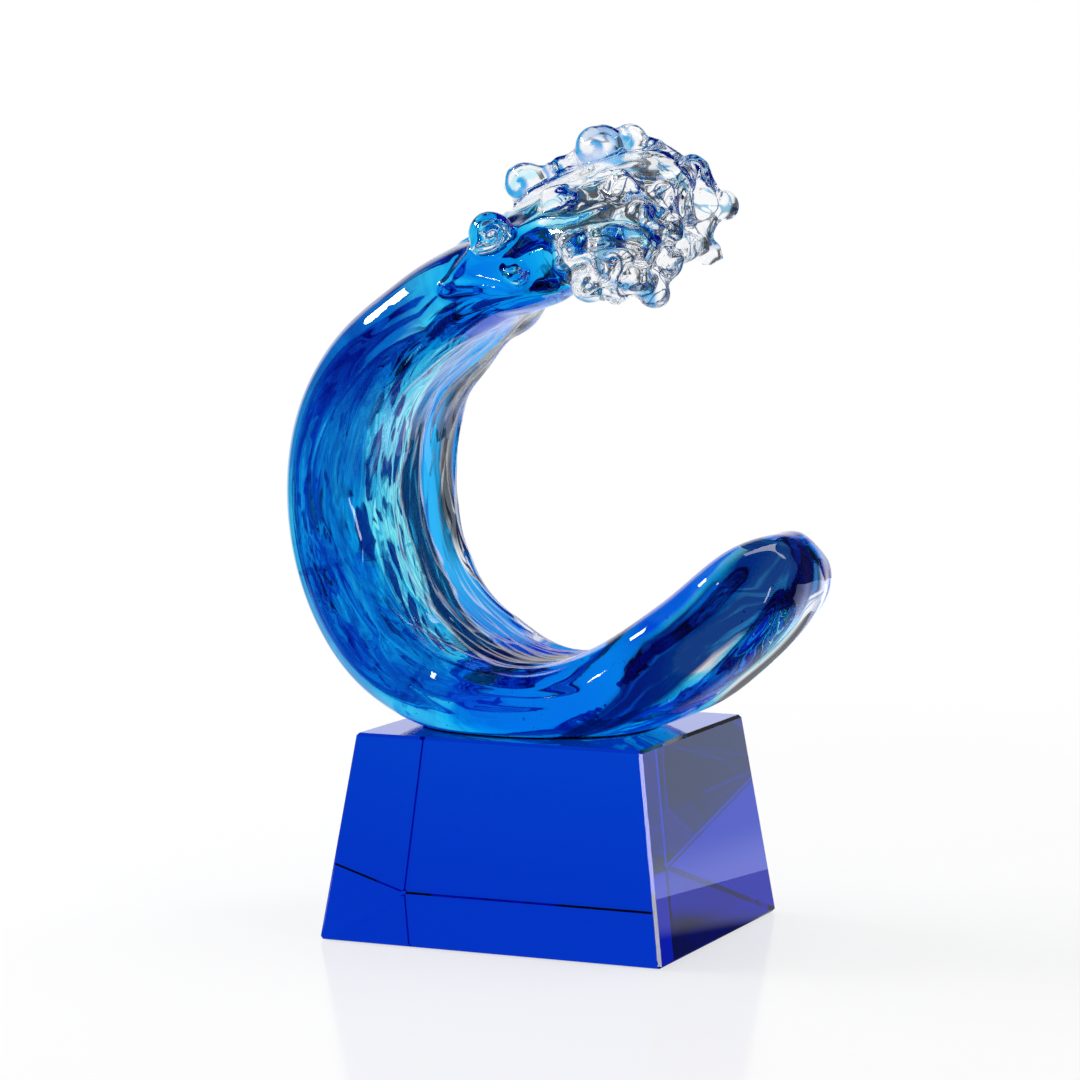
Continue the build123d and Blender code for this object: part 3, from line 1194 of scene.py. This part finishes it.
def nest(points):
    """Brings each point at least a little below the skin, and counts those that it moved."""
    nested = 0
    for i, point in enumerate(points):
        hit, normal, _, _ = skin_tree.find_nearest(Vector(point))
        if (hit - Vector(point)).dot(normal) < skin_gap:
            points[i] = hit - normal * skin_gap
            nested += 1
    return nested


core_solids = joined_solids(["cobalt_core"])
core_solids.from_mesh(ball_mesh(thread_balls))
core = melt(new_piece("cobalt_heart", core_solids), voxel=0.9 * MM, fillet=0, smoothing=6)
points, normals = mesh_points(core.data)
points -= normals * core_inset
angle, _, _, _ = curl_of(points)
far_reach = 1 + far_swell * ease(angle, 0.1, 0.6) * (1 - ease(angle, 1.1, 1.3))
points[:, 1] *= np.where(points[:, 1] > 0, far_reach, 1.0)
nested = nest(points)
print("core:", len(points), "points,", nested, "of them nested")

# %% [markdown]
# ## Thin cobalt under the trough
#
# Under the trough the core is thin, and its thickness comes and goes in waves, so that the trough runs from
# aqua to deep blue. Each point is moved straight out from the barrel, towards the skin behind it. A ray
# tells how far that skin is, and each point keeps only a share of that way. So the core never folds through
# itself.

# %% Thinning under the trough
keep_mean = 0.11
keep_wide = 0.2
keep_fine = 0.1
keep_least = 0.04
keep_most = 0.26

angle, along, outward, across = curl_of(points)
level = np.zeros(len(points))
everywhere = np.ones(len(points), bool)
wide = drawn_noise(along, level, across, 45 * MM, 9 * MM, everywhere, seed=5)
fine = drawn_noise(along, level, across, 16 * MM, 4 * MM, everywhere, seed=6)
ring = ease(angle, -1.4, -1.0) * (1 - ease(angle, 0.9, 1.3))
combed = ring * ease(across, -30 * MM, -6 * MM)
kept_share = np.clip(keep_mean + keep_wide * wide + keep_fine * fine, keep_least, keep_most)
keep = 1 - combed * (1 - kept_share)
radial = np.stack([-np.cos(angle), np.zeros(len(angle)), np.sin(angle)], 1)
to_back = np.zeros(len(points))
for i in np.flatnonzero(combed > 0.01):
    _, _, _, distance = skin_tree.ray_cast(Vector(points[i]), Vector(radial[i]))
    to_back[i] = max((distance or 0) - skin_gap, 0)
new_outward = outward + to_back * (1 - keep)
print("under the trough, cobalt keeps at least", round(float(keep.min()), 2), "of the way")

# %% [markdown]
# ## Thin cobalt in the tail
#
# Towards its end the tail is nearly clear, with cobalt left along its inner side. The core's points there
# are drawn in towards that side, in streaks. After that the whole core is nested below the skin once more.

# %% Thinning in the tail
inner_side = -15 * MM
tail = (1 - ease(angle, -2.4, -2.05)) * ease(angle, -3.0, -2.8)
edge_streaks = drawn_noise(along, outward, across, 40 * MM, 5 * MM, tail > 0.01, seed=7)
tail_keep = np.clip(0.3 + 0.25 * edge_streaks, 0.15, 0.5)
drawn_in = outward - (outward - inner_side) * tail * (1 - tail_keep)
new_outward = np.where(tail > 0, drawn_in, new_outward)
points += radial * (new_outward - outward)[:, None]

nested = nest(points)
move_points(core.data, points)
print("core:", len(core.data.polygons), "faces and", nested, "points nested")

# %% [markdown]
# ## How the cobalt is marked
#
# The core's surface bends no light, since there is glass on both sides, so its index is 1 and only its
# colour shows. The depth gives the blue. Over that go fine cords, drawn along the wave's front, which fade
# out before the foot and the crest.

# %% Cobalt glass
no_tint = (1, 1, 1, 1)
cobalt_blue = (0.12, 0.861, 0.986, 1)
cord_blue = (0.3, 0.5, 0.75, 1)

cobalt, tree, output, cobalt_skin = glass("cobalt_glass", no_tint, ior=1.0)
soak(tree, output, cobalt_blue, density=200)

curl_node = place_group(tree, curl_group)
place = add_node(tree, "ShaderNodeSeparateXYZ", Vector=curl_node.outputs["Curl"])
along = place.outputs["X"]
side = math_node(tree, "SUBTRACT", place.outputs["Y"], place.outputs["Z"])
cords = place_group(tree, streak_group, Along=along, Side=side, Fineness=420.0, Length=0.09,
                    Low=0.4, High=0.6)
cord_tint = colour_mix(tree, cords.outputs["Streak"], cord_blue, no_tint)
below_crest = remap(tree, along, 0.05, 0.07, 1.0, 0.0)
on_front = math_node(tree, "MULTIPLY", remap(tree, along, -0.08, -0.05), below_crest)
tree.links.new(colour_mix(tree, on_front, no_tint, cord_tint), cobalt_skin.inputs["Base Color"])

core.data.materials.append(cobalt)
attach(core, "root")
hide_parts("cobalt_core")
print("cobalt glass on", core.name)

# %% [markdown]
# ## How the clear glass is marked
#
# Colour was worked into the skin as well. It could be a second body of glass, but such thin veins would need
# a very fine mesh. So it is a tint of the skin, chosen by the zones that the mesh carries and broken up by
# streaks. Part of the tint is painted shade: the tail's dark zone and the crest's dark swirl lines. Each
# face tints light by the square root of its colour only, so the tints here are darker than they look.

# %% Mark helpers
tree = clear_tree


def attribute(name):
    """A mesh attribute's value."""
    node = add_node(tree, "ShaderNodeAttribute")
    node.attribute_name = name
    return node.outputs["Fac"]


def streaks(along, side, fineness, length, low, high):
    """A value that is high along thin streaks."""
    node = place_group(tree, streak_group, Along=along, Side=side, Fineness=fineness, Length=length,
                       Low=low, High=high)
    return node.outputs["Streak"]


def both(first, second):
    """Two masks multiplied: 1 only where both are."""
    return math_node(tree, "MULTIPLY", first, second)


def between(value, start, end, soft):
    """1 between two values, 0 outside them."""
    return both(remap(tree, value, start - soft, start + soft),
                remap(tree, value, end - soft, end + soft, 1.0, 0.0))


def show_size(step):
    """Says how far the skin's node tree has grown."""
    print(step, "drawn: the clear glass has", len(tree.nodes), "nodes")


curl_node = place_group(tree, curl_group)
place = add_node(tree, "ShaderNodeSeparateXYZ", Vector=curl_node.outputs["Curl"])
along = place.outputs["X"]
zone = attribute("trough_zone")
side = math_node(tree, "MULTIPLY", zone, 0.014)
show_size("coordinates")

# %% [markdown]
# ## Network and lens
#
# Four zones of colour lie side by side in the trough. The first is a network of bright aqua veins round
# blue cells, crossed by dark lines. The third is a bright blue lens, which deepens towards the foot.

# %% Network and lens
deep_cell = (0.00004, 0.008, 0.12, 1)
pale_cell = (0.02, 0.6, 0.95, 1)
vein_aqua = (0.16, 1, 1, 1)
line_dark = (0.01, 0.08, 0.25, 1)
lens_blue = (0.0009, 0.25, 1, 1)
lens_dark = (0.0005, 0.06, 0.35, 1)
lens_deep = (0.0006, 0.09, 0.72, 1)

cells = place_group(tree, cells_group, Along=along, Side=side, Fineness=300.0, Length=0.14, Warp=0.006,
                    Width=0.16)
cell_depth = streaks(along, side, 240.0, 0.14, 0.5, 0.62)
cell_tint = colour_mix(tree, cell_depth, deep_cell, pale_cell)
network = colour_mix(tree, cells.outputs["Vein"], cell_tint, vein_aqua)
dark_lines = streaks(along, side, 520.0, 0.1, 0.58, 0.68)
network = colour_mix(tree, dark_lines, network, line_dark)

lens_lines = streaks(along, side, 300.0, 0.08, 0.64, 0.72)
lens = colour_mix(tree, lens_lines, lens_blue, lens_dark)
low_lens = remap(tree, along, -0.06, -0.02, 1.0, 0.0)
lens = colour_mix(tree, low_lens, lens, lens_deep)
show_size("network and lens")

# %% [markdown]
# ## Band and rim
#
# The second zone is a dark band, and the fourth is a clear rim with dark lines. Under the crest the band
# and the lines of the rim turn to a softer blue, as in the photograph.

# %% Band and rim
band_dark = (0.00001, 0.004, 0.035, 1)
band_blue = (0.001, 0.16, 0.52, 1)
band_soft = (0.004, 0.15, 0.6, 1)
rim_dark = (0.005, 0.01, 0.03, 1)
rim_soft = (0.04, 0.35, 0.85, 1)

under_crest = remap(tree, along, 0.02, 0.045)
band_lines = streaks(along, side, 420.0, 0.08, 0.56, 0.72)
band = colour_mix(tree, band_lines, band_dark, band_blue)
band = colour_mix(tree, under_crest, band, band_soft)
rim_tint = colour_mix(tree, under_crest, rim_dark, rim_soft)
rim_lines = streaks(along, side, 620.0, 0.05, 0.52, 0.58)
rim = colour_mix(tree, rim_lines, clear_white, rim_tint)
show_size("band and rim")

# %% [markdown]
# ## Outer side
#
# Outside the trough the skin is tinted too: blue over the wave's back, deeper on the shoulder below the
# crest, and with dark specks beside the network. The masks end before the foot, where the skin stays clear.

# %% Outer side
back_blue = (0.03, 0.4, 0.85, 1)
shoulder_blue = (0.001, 0.08, 0.45, 1)
speck_blue = (0.001, 0.05, 0.3, 1)

below_crest = remap(tree, along, 0.055, 0.07, 1.0, 0.0)
ring_part = both(remap(tree, along, -0.085, -0.065), below_crest)
above_foot = both(remap(tree, along, -0.1, -0.085), below_crest)
outer_side = both(remap(tree, place.outputs["Y"], 0.064, 0.071), above_foot)
tint = colour_mix(tree, outer_side, clear_white, back_blue)

shoulder = both(remap(tree, along, 0.005, 0.035), ring_part)
shoulder = both(shoulder, remap(tree, zone, -0.15, 0.05, 1.0, 0.0))
tint = colour_mix(tree, shoulder, tint, shoulder_blue)

front_side = math_node(tree, "SUBTRACT", place.outputs["Y"], place.outputs["Z"])
specks = both(streaks(along, front_side, 480.0, 0.22, 0.58, 0.66), between(zone, -0.85, 0.0, 0.12))
tint = colour_mix(tree, both(specks, ring_part), tint, speck_blue)
show_size("outer side")

# %% [markdown]
# ## Laying the trough's zones
#
# The four colours go over the outer side's tint, each in its own zone. Straight borders would look painted,
# so the numbers of the zones sway a little along the curl first.

# %% Trough zones
zone_sway = 0.35
zone_soft = 0.08

sway = streaks(along, side, 110.0, 0.2, 0.25, 0.75)
centred = math_node(tree, "SUBTRACT", sway, 0.5)
swayed = math_node(tree, "MULTIPLY_ADD", centred, zone_sway, zone)
for start, zone_tint in enumerate((network, band, lens, rim)):
    tint = colour_mix(tree, between(swayed, start, start + 1, zone_soft), tint, zone_tint)
show_size("trough zones")

# %% [markdown]
# ## Tail
#
# The tail has a blue edge near its end, a zone of painted shade beside it, and beyond that clear glass with
# soft grey-blue streaks. The painted shade stands in for the room's dark side, seen through the tail's
# rounded end. A second attribute tells these zones apart.

# %% Tail
edge_blue = (0.002, 0.04, 0.62, 1)
tail_shade_dark = (0.00005, 0.002, 0.05, 1)
tail_shade_blue = (0.001, 0.06, 0.34, 1)
grey_blue = (0.06, 0.12, 0.3, 1)

tail = attribute("tail_zone")
tail_side = math_node(tree, "MULTIPLY", tail, 0.02)
tail_end = remap(tree, along, -0.14, -0.12, 1.0, 0.0)
tail_edge = both(between(tail, -0.95, 0, 0.08), tail_end)
tint = colour_mix(tree, tail_edge, tint, edge_blue)

# Painted shade: this dark zone stands in for the room's dark side seen through the tail.
tail_shade_lines = streaks(along, tail_side, 260.0, 0.15, 0.5, 0.75)
tail_shade = colour_mix(tree, tail_shade_lines, tail_shade_dark, tail_shade_blue)
tint = colour_mix(tree, between(tail, 0, 1, 0.06), tint, tail_shade)

pale_lines = streaks(along, tail_side, 330.0, 0.1, 0.4, 0.6)
pale = colour_mix(tree, pale_lines, clear_white, grey_blue)
tint = colour_mix(tree, between(tail, 1, 2, 0.1), tint, pale)
show_size("tail")

# %% [markdown]
# ## Crest
#
# The crest is clear, with soft patches of blue and the spirals in its beads. Over them lie swirls of painted
# shade: dark and blue lines that stand in for the room's dark side, bent through the crest's glass. A line
# is where a twisted noise crosses its middle value. Some lines are darker than others.

# %% Crest
patch_blue = (0.03, 0.3, 0.82, 1)
bead_tint = (0.003, 0.2, 0.7, 1)
crest_shade_dark = (0.01, 0.03, 0.1, 1)
crest_shade_blue = (0.12, 0.4, 0.7, 1)


def object_noise(**settings):
    """Noise in the object's own space."""
    spot = add_node(tree, "ShaderNodeTexCoord").outputs["Object"]
    return add_node(tree, "ShaderNodeTexNoise", Vector=spot, **settings).outputs[0]


on_crest = remap(tree, along, 0.085, 0.1)
patches = object_noise(Scale=70.0, Detail=1.0, Distortion=1.0)
blue_patch = both(remap(tree, patches, 0.56, 0.65), on_crest)
tint = colour_mix(tree, blue_patch, tint, patch_blue)
tint = colour_mix(tree, attribute("bead_blue"), tint, bead_tint)

# Painted shade: the swirl lines stand in for the room's dark side seen bent through the crest.
swirl = object_noise(Scale=60.0, Detail=1.0, Distortion=1.8)
off_line = math_node(tree, "ABSOLUTE", math_node(tree, "SUBTRACT", swirl, 0.5))
drawn = both(remap(tree, off_line, 0.008, 0.03, 1.0, 0.0), on_crest)
crest_shade_level = remap(tree, object_noise(Scale=60.0, Detail=0.0), 0.4, 0.6)
crest_shade_tint = colour_mix(tree, crest_shade_level, crest_shade_dark, crest_shade_blue)
tint = colour_mix(tree, drawn, tint, crest_shade_tint)
show_size("crest")

# %% [markdown]
# ## Tinting once
#
# Light meets the skin on its way in and again on its way out. Tinted twice, the far side's marks would show
# through the near side's and darken everything. Backfacing is 1 on the way out, and there the skin stays
# clear.

# %% Entering light only
from_inside = add_node(tree, "ShaderNodeNewGeometry").outputs["Backfacing"]
tree.links.new(colour_mix(tree, from_inside, tint, clear_white), clear_skin.inputs["Base Color"])
show_size("skin")
